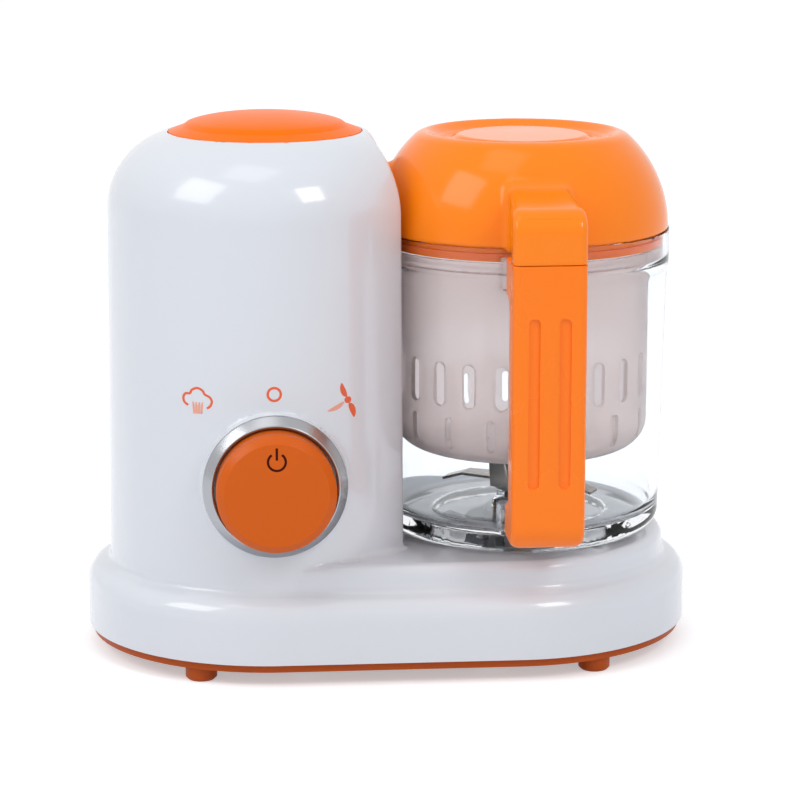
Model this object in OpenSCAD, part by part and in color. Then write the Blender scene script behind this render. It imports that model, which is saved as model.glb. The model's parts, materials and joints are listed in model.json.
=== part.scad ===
// Baby food maker: a steam tower and a blending jar side by side on one base.
// Millimetres, +Z up, front towards -Y. The origin lies on the table under the
// middle of the whole machine's outline, handle included.

/* [Base] */
// Length of the base, left to right
base_len = 267; // [255:1:320]
// Depth of the base, front to back
base_depth = 164; // [158:1:196]
// Height of the base moulding's own wall
base_h = 28; // [26:1:36]
// Rounding of the base's top edge
base_round = 9; // [4:1:10]
// How far the step stands in from the base's wall
step_inset = 10; // [9:1:14]
// Height of the step that the jar stands on
step_h = 12; // [10:1:16]
// Rounding of the step's top edge
step_round = 4; // [2:1:6]
// Wall of the main moulding
wall = 2.5; // [2:0.25:3.5]
// Thickness of the bottom plate
plate_t = 3.5; // [3:0.5:5]
// How far the bottom plate stands in from the base's wall
plate_inset = 2; // [1:0.5:2]
// Height of the feet
foot_h = 6.5; // [5:0.5:12]
// Radius of the feet
foot_r = 6.8; // [5:0.2:9]

/* [Tower] */
// Rise of the tower's top above the jar's rim
tower_rise = 44.3; // [40:0.1:60]
// Radius of the tower at the step
tower_r_low = 70.4; // [69:0.1:72]
// Radius of the tower where its shoulder begins
tower_r_high = 69; // [67:0.1:71]
// Radius of the tower's rounded shoulder
shoulder_r = 34; // [24:1:40]
// Distance between the tower's axis and the jar's
axis_gap = 112.5; // [110:0.5:116]
// How far the middle of the tower and jar lies to the right of the base's middle
pair_shift = 3.25; // [0:0.25:6]
// Radius of the tank cap
cap_r = 42; // [40:0.5:46]
// Rise of the tank cap's crown above its edge
cap_crown = 8; // [4:0.5:12]

/* [Knob] */
// Height of the knob's axis above the table
knob_z = 86; // [82:1:100]
// Radius of the knob
knob_r = 25.3; // [18:0.1:28]
// How far the knob's face stands out from its seat
knob_out = 17.5; // [12:0.5:22]
// Chamfer of the knob's face
knob_chamfer = 3; // [1:0.5:5]
// Width of the metal bezel round the knob
bezel_w = 4.7; // [3:0.1:7]
// Height of the bezel above its seat
bezel_h = 5.5; // [3:0.5:8]

/* [Jar] */
// Outer radius of the jar's rim
jar_rim_r = 65.2; // [62:0.1:68]
// Outer radius of the jar's wall just below the rim
jar_r_high = 64.6; // [61:0.1:67]
// Outer radius of the jar's wall at its foot
jar_r_low = 61.8; // [58:0.1:64]
// Height of the jar
jar_h = 134.4; // [125:0.1:170]
// Wall of the jar
jar_wall = 3; // [2.4:0.1:4]
// Height of the jar's rim band
rim_h = 16; // [14:0.5:20]
// Thickness of the jar's floor
floor_t = 4; // [3:0.5:6]
// Gap between the jar's rim and the tower's hollow side
recess_gap = 2.3; // [1.5:0.1:4]

/* [Handle] */
// Width of the handle
handle_w = 31; // [24:0.5:36]
// Distance from the jar's axis to the handle's front face
handle_reach = 100.5; // [96:0.5:112]
// Depth of the grip, front to back
grip_t = 15; // [12:0.5:17]
// Height of the handle's lower end above the jar's foot
handle_low = 11; // [8:0.5:16]
// Depth of the two grooves in the grip's face
groove_d = 1; // [0.5:0.1:1.5]

/* [Lid] */
// Radius of the lid at its lower edge
lid_r = 64.6; // [62:0.1:67]
// Radius of the lid's domed side
lid_dome_r = 54.2; // [50:0.1:60]
// Height of the lid's crest above its lower edge
lid_h = 42.4; // [39:0.1:48]
// Radius of the lid's crest
crest_r = 43; // [38:0.5:46]
// Wall of the lid
lid_wall = 2.5; // [2:0.1:3.5]
// Radius of the steam inlet on the lid's side
inlet_r = 9; // [7:0.5:11]

/* [Basket] */
// Outer radius of the steam basket
basket_r = 56.3; // [50:0.1:57]
// Depth of the steam basket below its rim
basket_h = 91; // [70:1:94]
// Wall of the steam basket
basket_wall = 2; // [1.6:0.1:3]
// Number of slots round the basket
slot_count = 24; // [12:1:28]
// Width of a slot
slot_w = 5.6; // [3:0.1:6]

/* [Drive] */
// Radius of the motor's can
motor_r = 24; // [18:1:26]
// Length of the motor's can
motor_len = 62; // [40:1:64]
// Belt radius on the motor pulley
pulley_r_motor = 8; // [6:0.5:10]
// Belt radius on the driven pulley
pulley_r_drive = 24; // [18:0.5:26]
// Thickness of the belt
belt_t = 2; // [1:0.1:2.5]
// Width of the belt
belt_w = 6; // [4:0.5:7]
// Radius of the drive shaft
drive_shaft_r = 4; // [3:0.25:5]
// Radius of the blade shaft
blade_shaft_r = 3; // [2.5:0.25:3.5]
// Reach of the lower blade from its axis
blade_reach = 36; // [28:1:44]
// Thickness of the blades
blade_t = 1.2; // [0.8:0.1:1.6]

/* [Hidden] */

$fn = 96;
eps = 0.01;
// Clearance of a shaft in its bore, of a piece in its pocket and under a lifted piece
run_gap = 0.05;
fit_gap = 0.1;
lift_gap = 0.3;
// Steps in a rounded stretch of a profile
arc_n = 8;

gland_out = 3;
gland_r = 7;
gland_x = -30;
gland_neck_r = gland_r - 1.5;
body_y = (handle_reach - base_depth / 2 - gland_out) / 2;

base_z = foot_h + plate_t;
base_top = base_z + base_h;
seat_z = base_top + step_h;
gland_z = base_z + base_h / 2 - 1;
base_r = base_depth / 2;
end_x = base_len / 2 - base_r;
step_r = base_r - step_inset;
tower_x = pair_shift - axis_gap / 2;
jar_x = pair_shift + axis_gap / 2;
tower_top = seat_z + jar_h + tower_rise;
recess_r = jar_rim_r + recess_gap;

cap_edge_z = tower_top - shoulder_r
    + sqrt(pow(shoulder_r, 2) - pow(cap_r - tower_r_high + shoulder_r, 2));
cap_seat_z = cap_edge_z - 2.5;
cap_band = 6;

tank_r = 38;
tank_wall = 2;
neck_r = 35.7;
collar_r = 42;
collar_z = cap_seat_z - 9;
tank_flange_t = 2.5;
tank_z = 112;
heater_t = 5;
port_z = seat_z + jar_h + 20;
port_r = 6;
plug_r = 31;
plug_h = 9;

pad_y = -tower_r_low - 1.6;
pad_t = 3;
bezel_r = knob_r + 0.7 + bezel_w;
knob_shaft_r = 3;
pocket_r = bezel_r - 2.2;
switch_room = 11.5;
switch_w = 2 * (pocket_r - switch_room);
switch_d = 18;

motor_x = tower_x + 6.5;
pulley_z = base_z + 5.5;
pulley_h = belt_w + 3;
flange_t = 1.2;
flange_out = 2.6;
bracket_z = base_z + 20;
bracket_t = 3;
bracket_l = 68;
bracket_w = 56;
pillar_r = 5;

well_r = 24;
well_d = 6;
boss_r = 9.5;
bush_r = 6.5;
bush_h = 6;
boss_low = pulley_z + pulley_h + 1.5;

jar_z = seat_z + 0.2;
jar_top = jar_z + jar_h;
floor_under = jar_z + 4.8;
floor_top = floor_under + floor_t;
foot_ring_r = 39;
jar_round = 9;
ledge_z = jar_top - 12;
rim_wall = 2.3;
jar_boss_r = 10;
jar_boss_top = floor_top + 7;
lug_w = 34;
lug_out = 9;
tenon_w = 16;
tenon_t = 8;
tenon_l = 10;

clutch_r = 16;
clutch_t = 3;
lug_angle = 50;
lug_slack = 3;

hub_z = jar_boss_top + 0.6;
hub_r = 11;
hub_h = 3.4;
hub_cap_h = 10;
blade_turn = 240;

flange_z = ledge_z + lift_gap;
flange_h = 5;
flange_r = jar_rim_r - rim_wall - 0.6;
basket_round = 14;

lid_z = jar_top + lift_gap;
skirt_z = flange_z + flange_h + 0.5;
skirt_r = jar_rim_r - rim_wall - 1.6;
skirt_wall = 2;
crest_round = 3.5;
dish_d = 3.6;
disc_r = 30;
elbow_r = 5;

screw_r = 1.6;
head_r = 3.2;
head_h = 1.8;
boss_wall = 3;
screw_len = 12;

// ---- shared geometry -------------------------------------------------------

function arc(cx, cy, r, a0, a1, n = arc_n) =
    [for (i = [0:n]) let (a = a0 + (a1 - a0) * i / n) [cx + r * cos(a), cy + r * sin(a)]];

module at_base() { translate([0, body_y, 0]) children(); }
module at_tower() { translate([tower_x, body_y, 0]) children(); }
module at_jar() { translate([jar_x, body_y, 0]) children(); }
module at_motor() { translate([motor_x, body_y, 0]) children(); }
module at_knob() { translate([tower_x, body_y, knob_z]) rotate([90, 0, 0]) children(); }

module tube(r_out, r_in, z0, z1) {
    translate([0, 0, z0]) difference() {
        cylinder(r = r_out, h = z1 - z0);
        translate([0, 0, -1]) cylinder(r = r_in, h = z1 - z0 + 2);
    }
}

module rod(r, z0, z1) {
    translate([0, 0, z0]) cylinder(r = r, h = z1 - z0);
}

// A body with two round ends, from a profile of radius against height
module stadium(half, points) {
    for (side = [-1, 1]) translate([side * half, 0, 0]) rotate_extrude() polygon(points);
    mirrored = [for (i = [len(points) - 1:-1:0]) [-points[i][0], points[i][1]]];
    translate([-half, 0, 0]) rotate([90, 0, 90]) linear_extrude(2 * half)
        polygon(concat(points, mirrored));
}

function slab(r, z0, z1, round) = concat(
    [[0, z0], [r, z0]],
    round > 0 ? arc(r - round, z1 - round, round, 0, 90) : [[r, z1]],
    [[0, z1]]
);

function tower_profile(inset, z0) = concat(
    [[0, z0], [tower_r_low - inset, z0]],
    arc(tower_r_high - shoulder_r, tower_top - shoulder_r, shoulder_r - inset, 0, 90, 12),
    [[0, tower_top - inset]]
);

screw_inset = 8;
base_screw_spots = [
    [-end_x - step_r + 7, 0], [end_x + step_r - 7, 0],
    [-end_x / 2 - 14, step_r - screw_inset], [end_x / 2 + 14, step_r - screw_inset],
    [-end_x / 2 - 14, screw_inset - step_r], [end_x / 2 + 14, screw_inset - step_r]
];
foot_spots = [for (sx = [-1, 1], sy = [-1, 1]) [sx * (end_x + 33.5), sy * (base_r - 18.5)]];
pillar_spots = [for (sx = [-1, 1], sy = [-1, 1])
    [sx * (bracket_l / 2 - 6), sy * (bracket_w / 2 - 6)]];
tank_screw_r = collar_r - 2;
fine_head_r = 1.9;
fine_screw_r = 1;
fine_head_h = 1.4;
motor_z = bracket_z + bracket_t;
motor_boss_r = 6.5;
motor_shaft_r = 2.5;
board_x = tower_x - 44;
board_w = 26;
board_l = 60;
board_t = 1.6;
board_lift = 4;
clutch_z = seat_z - well_d + 0.6;
jar_clutch_z = floor_under - 0.6;
handle_top = jar_top - 1.3;
handle_z = jar_z + handle_low;
arm_h = 17;
handle_screw_y = -jar_rim_r - lug_out - tenon_l / 2;
groove_x = 6.5;
groove_w = 5;
groove_z0 = handle_z + 28;
groove_z1 = handle_top - 22;

module wood_screw(shank) {
    cylinder(r = head_r, h = head_h);
    translate([0, 0, head_h - eps]) cylinder(r = screw_r, h = shank);
}

// ---- base and tower --------------------------------------------------------

module recess(r, z0) {
    translate([jar_x, 0, z0]) cylinder(r = r, h = tower_top);
}

module base_outside() {
    stadium(end_x, slab(base_r, base_z, base_top, base_round));
    stadium(end_x, slab(step_r, base_z, seat_z, step_round));
    difference() {
        translate([tower_x, 0, 0]) rod(tower_r_low, base_z, seat_z);
        recess(recess_r, seat_z - wall);
    }
}

module base_inside() {
    stadium(end_x, slab(base_r - wall, base_z - 1, base_top - wall, base_round - wall));
    stadium(end_x, slab(step_r - wall, base_z - 1, seat_z - wall, step_round - wall));
    difference() {
        translate([tower_x, 0, 0]) rod(tower_r_low - wall, base_z - 1, seat_z + 1);
        recess(recess_r + wall, seat_z - wall);
    }
}

module base_bosses() {
    for (p = base_screw_spots) translate([p[0], p[1], 0])
        rod(screw_r + boss_wall, base_z, seat_z - 1);
    translate([jar_x, 0, 0]) rod(well_r + wall, seat_z - well_d - wall, seat_z - 1);
    translate([jar_x, 0, 0]) rod(boss_r, boss_low, seat_z - well_d - 1);
}

module base_holes() {
    for (p = base_screw_spots) translate([p[0], p[1], 0])
        rod(screw_r + run_gap, base_z - 1, base_z + screw_len);
    translate([jar_x, 0, 0]) rod(well_r, seat_z - well_d, seat_z + 1);
    translate([jar_x, 0, 0]) rod(bush_r, boss_low - 1, seat_z - well_d + 1);
    translate([gland_x, base_r - wall - 1, gland_z]) rotate([-90, 0, 0])
        cylinder(r = gland_neck_r + run_gap, h = wall + 2);
}

module housing() {
    color("white") at_base() difference() {
        union() {
            difference() {
                base_outside();
                base_inside();
            }
            base_bosses();
        }
        base_holes();
    }
}

// The side wall and shoulder of the tower, open towards the jar
module tower_wall() {
    difference() {
        rotate_extrude() polygon(tower_profile(0, seat_z));
        rotate_extrude() polygon(tower_profile(wall, seat_z - 1));
        translate([-tower_x, 0, 0]) recess(recess_r + wall + fit_gap, seat_z - 1);
    }
}

module tower_holes() {
    rod(cap_r + lift_gap, cap_seat_z, tower_top + 1);
    rod(neck_r + fit_gap, collar_z - 1, cap_seat_z + 1);
    for (a = [45:90:315]) rotate(a) translate([tank_screw_r, 0, 0])
        rod(fine_screw_r + run_gap, collar_z - 1, collar_z + 6);
    translate([0, 0, knob_z]) rotate([90, 0, 0]) {
        rod(pocket_r, -pad_y - 20, -pad_y - pad_t);
        rod(knob_shaft_r + 1.5, -pad_y - 20, -pad_y + 1);
        for (s = [-1, 1]) translate([s * (switch_w / 2 + 4), 0, 0])
            rod(fine_screw_r + run_gap, -pad_y - pad_t - 1, -pad_y - pad_t + 1.8);
    }
}

module tower() {
    color("white") at_tower() difference() {
        union() {
            tower_wall();
            tube(collar_r, neck_r + fit_gap, collar_z, cap_seat_z);
            translate([0, 0, knob_z]) rotate([90, 0, 0])
                rod(bezel_r + 0.2, -pad_y - 12, -pad_y);
        }
        tower_holes();
    }
}

// The hollow side of the tower that the jar stands against
module recess_panel() {
    color("white") at_tower() difference() {
        intersection() {
            rotate_extrude() polygon(tower_profile(0, seat_z));
            translate([axis_gap, 0, 0]) tube(recess_r + wall, recess_r, seat_z, tower_top);
        }
        translate([axis_gap - recess_r - wall - 3, 0, port_z]) rotate([0, 90, 0])
            cylinder(r = port_r + run_gap, h = wall + 6);
    }
}

module bottom_plate() {
    vent_n = 7;
    vent_pitch = 8;
    vent_l = 34;
    color("darkorange") at_base() difference() {
        union() {
            stadium(end_x, slab(base_r - plate_inset, foot_h, base_z, 0));
            translate([motor_x, 0, 0]) for (p = pillar_spots) translate([p[0], p[1], 0])
                rod(pillar_r, base_z - 1, bracket_z);
            for (sx = [-1, 1], sy = [-1, 1])
                translate([board_x + sx * (board_w / 2 - 3), sy * (board_l / 2 - 3), 0])
                    rod(3, base_z - 1, base_z + board_lift);
        }
        for (p = base_screw_spots) translate([p[0], p[1], 0]) {
            rod(screw_r + run_gap, foot_h - 1, base_z + 1);
            rod(head_r + run_gap, foot_h - 1, foot_h + head_h + fit_gap);
        }
        for (p = foot_spots) translate([p[0], p[1], 0]) rod(3 + run_gap, foot_h - 1, base_z + 1);
        translate([motor_x, 0, 0]) for (p = pillar_spots) translate([p[0], p[1], 0])
            rod(screw_r + run_gap, bracket_z - screw_len, bracket_z + 1);
        for (i = [0:vent_n - 1])
            translate([motor_x + (i - (vent_n - 1) / 2) * vent_pitch - 1.5, -vent_l / 2, foot_h - 1])
                cube([3, vent_l, plate_t + 2]);
    }
}

module feet() {
    color("orange") at_base() for (p = foot_spots) translate([p[0], p[1], 0]) {
        rotate_extrude() polygon([[0, 0], [foot_r - 1, 0], [foot_r, 1], [foot_r, foot_h], [0, foot_h]]);
        rod(3, foot_h - eps, base_z - 0.5);
    }
}

module base_screws() {
    color("silver") at_base() for (p = base_screw_spots)
        translate([p[0], p[1], foot_h + fit_gap]) wood_screw(screw_len);
}

module cord_gland() {
    color("gainsboro") at_base() translate([gland_x, base_r, gland_z]) rotate([-90, 0, 0])
    difference() {
        union() {
            rod(gland_r, 0, gland_out);
            rod(gland_neck_r, -wall - 4, eps);
            rod(gland_r, -wall - 4, -wall);
        }
        rod(3.3, -wall - 6, gland_out + 1);
    }
}

// ---- knob and switch -------------------------------------------------------

module knob_bezel() {
    rim = bezel_r - bezel_w;
    color("silver") at_knob() translate([0, 0, -pad_y]) rotate_extrude() polygon([
        [rim, 0], [bezel_r, 0], [bezel_r, bezel_h - 3.2], [bezel_r - 0.8, bezel_h - 1.6],
        [bezel_r - 2.2, bezel_h - 0.5], [bezel_r - 3.4, bezel_h],
        [rim + 0.4, bezel_h], [rim, bezel_h - 0.4]
    ]);
}

module knob() {
    hub_in = 9;
    color("orangered") at_knob() translate([0, 0, -pad_y]) difference() {
        rotate_extrude() polygon(concat(
            [[0, 0.6], [knob_r - 0.4, 0.6], [knob_r, 1]],
            [[knob_r, knob_out - knob_chamfer]],
            arc(knob_r - knob_chamfer, knob_out - knob_chamfer * 0.8, knob_chamfer * 0.8, 30, 90, 4),
            [[0, knob_out]]
        ));
        translate([0, 0, -1]) cylinder(r = knob_shaft_r + run_gap, h = knob_out - 2.5);
        tube(knob_r - 2.5, hub_in, 0, knob_out - 4);
    }
}

module knob_shaft() {
    color("silver") at_knob() rod(knob_shaft_r, -pad_y - pad_t - switch_d + 4, -pad_y + knob_out - 4);
}

module rotary_switch() {
    color("dimgray") at_knob() translate([0, 0, -pad_y - pad_t]) difference() {
        union() {
            translate([-switch_w / 2, -switch_w / 2, -switch_d]) cube([switch_w, switch_w, switch_d]);
            translate([-switch_w / 2 - 8, -6, -3]) cube([switch_w + 16, 12, 3]);
            for (i = [-1:1], s = [-1, 1]) translate([i * 9 - 2.5, s * 9 - 0.4, -switch_d - 7])
                cube([5, 0.8, 8]);
        }
        translate([0, 0, -switch_d + 3]) cylinder(r = knob_shaft_r + run_gap, h = switch_d);
        for (s = [-1, 1]) translate([s * (switch_w / 2 + 4), 0, -4])
            cylinder(r = fine_screw_r + run_gap, h = 6);
    }
}

module switch_screws() {
    color("silver") at_knob() for (s = [-1, 1])
        translate([s * (switch_w / 2 + 4), 0, -pad_y - pad_t - 3 - head_h]) {
            cylinder(r = fine_head_r, h = head_h);
            cylinder(r = fine_screw_r, h = head_h + 4.5);
        }
}

// ---- tank and steam --------------------------------------------------------

module tank_cap() {
    dome_r = (pow(cap_r - cap_band, 2) + pow(cap_crown - 2.5, 2)) / (2 * (cap_crown - 2.5));
    dome_a = asin((cap_r - cap_band) / dome_r);
    crown_z = cap_edge_z + cap_crown;
    color("darkorange") at_tower() difference() {
        union() {
            rotate_extrude() polygon(concat(
                [[0, cap_seat_z + lift_gap], [cap_r, cap_seat_z + lift_gap], [cap_r, cap_edge_z]],
                arc(0, crown_z - dome_r, dome_r, 90 - dome_a, 90, 10)
            ));
            rod(plug_r, cap_seat_z - plug_h, cap_seat_z + 1);
        }
        rod(plug_r - 2.5, cap_seat_z - plug_h - 1, cap_edge_z);
        tube(plug_r + 1, plug_r - 1, cap_seat_z - plug_h + 3, cap_seat_z - plug_h + 6);
    }
}

module cap_seal() {
    seal_z = cap_seat_z - plug_h + 3;
    color("whitesmoke") at_tower()
        tube(plug_r + 1.6, plug_r - 1 + run_gap, seal_z + run_gap, seal_z + 3 - run_gap);
}

module water_tank() {
    color("lightgray") at_tower() difference() {
        rotate_extrude() polygon(concat(
            arc(tank_r - 8, tank_z + 8, 8, -90, 0),
            [[tank_r, collar_z - tank_flange_t], [collar_r, collar_z - tank_flange_t],
             [collar_r, collar_z], [neck_r, collar_z], [neck_r, cap_seat_z - 0.4],
             [neck_r - 2.5, cap_seat_z - 0.4], [neck_r - 2.5, collar_z - 3],
             [tank_r - tank_wall, collar_z - 6]],
            arc(tank_r - 8, tank_z + 8 + tank_wall, 8 - tank_wall, 0, -90),
            [[0, tank_z + tank_wall * 2], [0, tank_z]]
        ));
        translate([tank_r - tank_wall - 4, 0, port_z]) rotate([0, 90, 0])
            cylinder(r = port_r + run_gap, h = tank_wall + 8);
        for (a = [45:90:315]) rotate(a) translate([tank_screw_r, 0, 0])
            rod(fine_screw_r + run_gap, collar_z - tank_flange_t - 1, collar_z + 1);
    }
}

module tank_screws() {
    color("silver") at_tower() for (a = [45:90:315]) rotate(a) translate([tank_screw_r, 0, 0]) {
        rod(fine_head_r, collar_z - tank_flange_t - fine_head_h, collar_z - tank_flange_t);
        rod(fine_screw_r, collar_z - tank_flange_t - eps, collar_z + 5);
    }
}

module heating_plate() {
    coil_r = 22;
    coil_bar_r = 3.2;
    color("silver") at_tower() {
        rod(tank_r - 8, tank_z - heater_t, tank_z);
        translate([0, 0, tank_z - heater_t]) rotate_extrude(angle = 300) translate([coil_r, 0])
            circle(r = coil_bar_r);
    }
}

module thermostat() {
    disc_z = tank_z - heater_t;
    color("darkgoldenrod") at_tower() {
        rod(8, disc_z - 4, disc_z);
        for (s = [-1, 1]) translate([s * 9.5, 0, disc_z - 2.6]) cube([6, 5, 0.8], center = true);
    }
}

module steam_nozzle() {
    x_tip = axis_gap - recess_r + 0.2;
    x_wall = x_tip - 0.2 - wall;
    color("whitesmoke") at_tower() translate([0, 0, port_z]) rotate([0, 90, 0]) difference() {
        union() {
            rod(port_r, tank_r - tank_wall, x_tip);
            rod(port_r + 3, x_wall - 2.8, x_wall - 0.2);
        }
        rod(port_r - 2.5, tank_r - tank_wall - 1, x_tip + 1);
    }
}

// ---- electrics and motor ---------------------------------------------------

module circuit_board() {
    color("darkgreen") at_base() translate([board_x, 0, base_z + board_lift])
        translate([-board_w / 2, -board_l / 2, 0]) cube([board_w, board_l, board_t]);
}

module board_parts() {
    color("black") at_base() translate([board_x, 0, base_z + board_lift + board_t]) {
        translate([0, -18, 0]) cylinder(r = 7, h = 17);
        translate([-9, -5, 0]) cube([18, 13, 14]);
        translate([-7, 13, 0]) cube([4, 12, 10]);
        translate([2, 13, 0]) cube([8, 10, 7]);
    }
}

module motor() {
    color("silver") at_motor() difference() {
        union() {
            rod(motor_r, motor_z, motor_z + motor_len);
            rod(motor_boss_r, motor_z - bracket_t + 0.5, motor_z + 1);
            rod(8, motor_z + motor_len - 1, motor_z + motor_len + 3);
        }
        rod(motor_shaft_r + run_gap, motor_z - bracket_t, motor_z + motor_len + 1.5);
        for (a = [30:60:330]) rotate(a) translate([motor_r - 3, -3, motor_z + motor_len - 16])
            cube([5, 6, 10]);
    }
}

module motor_shaft() {
    color("gray") at_motor() rod(motor_shaft_r, pulley_z - 1, motor_z + motor_len + 1);
}

module motor_bracket() {
    color("lightsteelblue") at_motor() difference() {
        translate([-bracket_l / 2, -bracket_w / 2, bracket_z]) cube([bracket_l, bracket_w, bracket_t]);
        rod(motor_boss_r + run_gap, bracket_z - 1, bracket_z + bracket_t + 1);
        for (p = pillar_spots) translate([p[0], p[1], 0])
            rod(screw_r + run_gap, bracket_z - 1, bracket_z + bracket_t + 1);
    }
}

module motor_screws() {
    head_z = bracket_z + bracket_t;
    color("silver") at_motor() for (p = pillar_spots) translate([p[0], p[1], 0]) {
        rod(head_r, head_z, head_z + head_h);
        rod(screw_r, head_z - screw_len + 1, head_z + eps);
    }
}

module pulley(r, bore) {
    rotate_extrude() polygon([
        [bore, 0], [r + flange_out, 0], [r + flange_out, flange_t], [r, flange_t],
        [r, pulley_h - flange_t], [r + flange_out, pulley_h - flange_t],
        [r + flange_out, pulley_h], [bore, pulley_h]
    ]);
}

module motor_pulley() {
    color("dimgray") at_motor() translate([0, 0, pulley_z])
        pulley(pulley_r_motor, motor_shaft_r + run_gap);
}

function belt_loop(r_a, r_b, dist, out) =
    let (b = asin((r_b - r_a) / dist)) concat(
        arc(0, 0, r_a + out, 90 + b, 270 - b, 16),
        arc(dist, 0, r_b + out, -90 - b, 90 + b, 40)
    );

module drive_belt() {
    span = jar_x - motor_x;
    color("black") at_motor() translate([0, 0, pulley_z + (pulley_h - belt_w) / 2])
        linear_extrude(belt_w) difference() {
            polygon(belt_loop(pulley_r_motor, pulley_r_drive, span, lift_gap + belt_t));
            polygon(belt_loop(pulley_r_motor, pulley_r_drive, span, lift_gap));
        }
}

module drive_pulley() {
    spokes = 6;
    hub_out = drive_shaft_r + 5;
    color("dimgray") at_jar() translate([0, 0, pulley_z]) difference() {
        pulley(pulley_r_drive, drive_shaft_r + run_gap);
        for (a = [0:360 / spokes:359]) rotate(a)
            translate([(hub_out + pulley_r_drive - 2) / 2, 0, -1])
                cylinder(r = (pulley_r_drive - 3 - hub_out) / 2, h = pulley_h + 2);
    }
}

module drive_shaft() {
    color("silver") at_jar() rod(drive_shaft_r, pulley_z - 1, clutch_z + clutch_t - 0.6);
}

module drive_bushes() {
    color("peru") at_jar() for (z = [boss_low, seat_z - well_d - bush_h])
        tube(bush_r - run_gap, drive_shaft_r + run_gap, z, z + bush_h);
}

module clutch_lugs(start, z0, z1) {
    for (a = [0:120:240]) rotate(a + start) translate([0, 0, z0]) rotate_extrude(angle = lug_angle)
        translate([clutch_r / 2, 0]) square([clutch_r / 2 - 0.5, z1 - z0]);
}

module drive_coupler() {
    color("dimgray") at_jar() difference() {
        union() {
            rod(clutch_r, clutch_z, clutch_z + clutch_t);
            clutch_lugs(0, clutch_z + clutch_t - eps, jar_clutch_z - clutch_t - 0.4);
        }
        rod(drive_shaft_r + run_gap, clutch_z - 1, clutch_z + clutch_t - 0.5);
    }
}

// ---- jar and blades --------------------------------------------------------

module jar_body() {
    rotate_extrude() polygon(concat(
        [[0, floor_under], [foot_ring_r, floor_under], [foot_ring_r, jar_z]],
        arc(jar_r_low - jar_round, jar_z + jar_round, jar_round, -90, 0),
        [[jar_r_high, jar_top - rim_h - 1.5], [jar_rim_r, jar_top - rim_h],
         [jar_rim_r, jar_top], [0, jar_top]]
    ));
}

module jar_hollow() {
    round_in = jar_round - 2;
    rotate_extrude() polygon(concat(
        [[jar_boss_r, jar_boss_top], [jar_boss_r, floor_top]],
        arc(jar_r_low - jar_wall - round_in, floor_top + round_in, round_in, -90, 0),
        [[jar_r_high - jar_wall, ledge_z], [jar_rim_r - rim_wall, ledge_z],
         [jar_rim_r - rim_wall, jar_top + 1], [0, jar_top + 1], [0, jar_boss_top]]
    ));
}

module lug(z0, z1) {
    y_out = -jar_rim_r - lug_out;
    z_mid = (z0 + z1) / 2;
    translate([-lug_w / 2, y_out, z0]) cube([lug_w, lug_out + 12, z1 - z0]);
    translate([-tenon_w / 2, y_out - tenon_l, z_mid - tenon_t / 2])
        cube([tenon_w, tenon_l + 1, tenon_t]);
}

module handle_screw_shanks(r) {
    translate([0, handle_screw_y, 0]) {
        rod(r, handle_top - screw_len - 2, handle_top - head_h);
        rod(r, handle_z + head_h, handle_z + screw_len + 2);
    }
}

module jar() {
    color([0.85, 0.9, 0.95, 0.5]) at_jar() difference() {
        union() {
            jar_body();
            lug(handle_top - arm_h + 2, handle_top - 2);
            lug(handle_z + 1.5, handle_z + arm_h - 3);
        }
        jar_hollow();
        rod(bush_r, jar_z - 1, jar_boss_top + 1);
        handle_screw_shanks(screw_r + run_gap);
    }
}

module handle_outline() {
    y_front = -handle_reach;
    y_back = y_front + grip_t;
    y_end = -jar_rim_r - lug_out;
    turn_out = 12;
    turn_in = 6;
    rotate([90, 0, 90]) linear_extrude(handle_w, center = true) polygon(concat(
        [[y_end, handle_top], [y_front, handle_top]],
        arc(y_front + turn_out, handle_z + turn_out, turn_out, 180, 270),
        [[y_end, handle_z], [y_end, handle_z + arm_h]],
        arc(y_back + turn_in, handle_z + arm_h + turn_in, turn_in, 270, 180),
        arc(y_back + turn_in, handle_top - arm_h - turn_in, turn_in, 180, 90),
        [[y_end, handle_top - arm_h]]
    ));
}

module grip_pocket(gap, depth) {
    z0 = handle_z + arm_h + 8;
    z1 = handle_top - arm_h - 8;
    translate([-handle_w / 2 + 3 + gap, -handle_reach + grip_t - depth, z0 + gap])
        cube([handle_w - 6 - 2 * gap, depth, z1 - z0 - 2 * gap]);
}

module jar_handle() {
    y_end = -jar_rim_r - lug_out;
    round_x = 5;
    color("darkorange") at_jar() difference() {
        intersection() {
            handle_outline();
            rotate([90, 0, 0]) linear_extrude(handle_reach + 1) polygon(concat(
                arc(-handle_w / 2 + round_x, handle_z + round_x, round_x, 180, 270, 6),
                arc(handle_w / 2 - round_x, handle_z + round_x, round_x, 270, 360, 6),
                [[handle_w / 2, handle_top], [-handle_w / 2, handle_top]]
            ));
        }
        translate([0, 1, 0]) grip_pocket(0, grip_t - 2);
        for (s = [-1, 1]) translate([s * groove_x - groove_w / 2, -handle_reach - 1, groove_z0])
            cube([groove_w, 1 + groove_d, groove_z1 - groove_z0]);
        for (z = [handle_top - arm_h / 2, handle_z + arm_h / 2 - 0.75])
            translate([-tenon_w / 2 - fit_gap, y_end - tenon_l - fit_gap, z - tenon_t / 2 - fit_gap])
                cube([tenon_w + 2 * fit_gap, tenon_l + 2, tenon_t + 2 * fit_gap]);
        handle_screw_shanks(screw_r + run_gap);
        translate([0, handle_screw_y, 0]) {
            rod(head_r + run_gap, handle_top - head_h - 0.4, handle_top + 1);
            rod(head_r + run_gap, handle_z - 1, handle_z + head_h + 0.4);
        }
    }
}

module handle_cover() {
    color("orange") at_jar() grip_pocket(fit_gap, 2);
}

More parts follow.
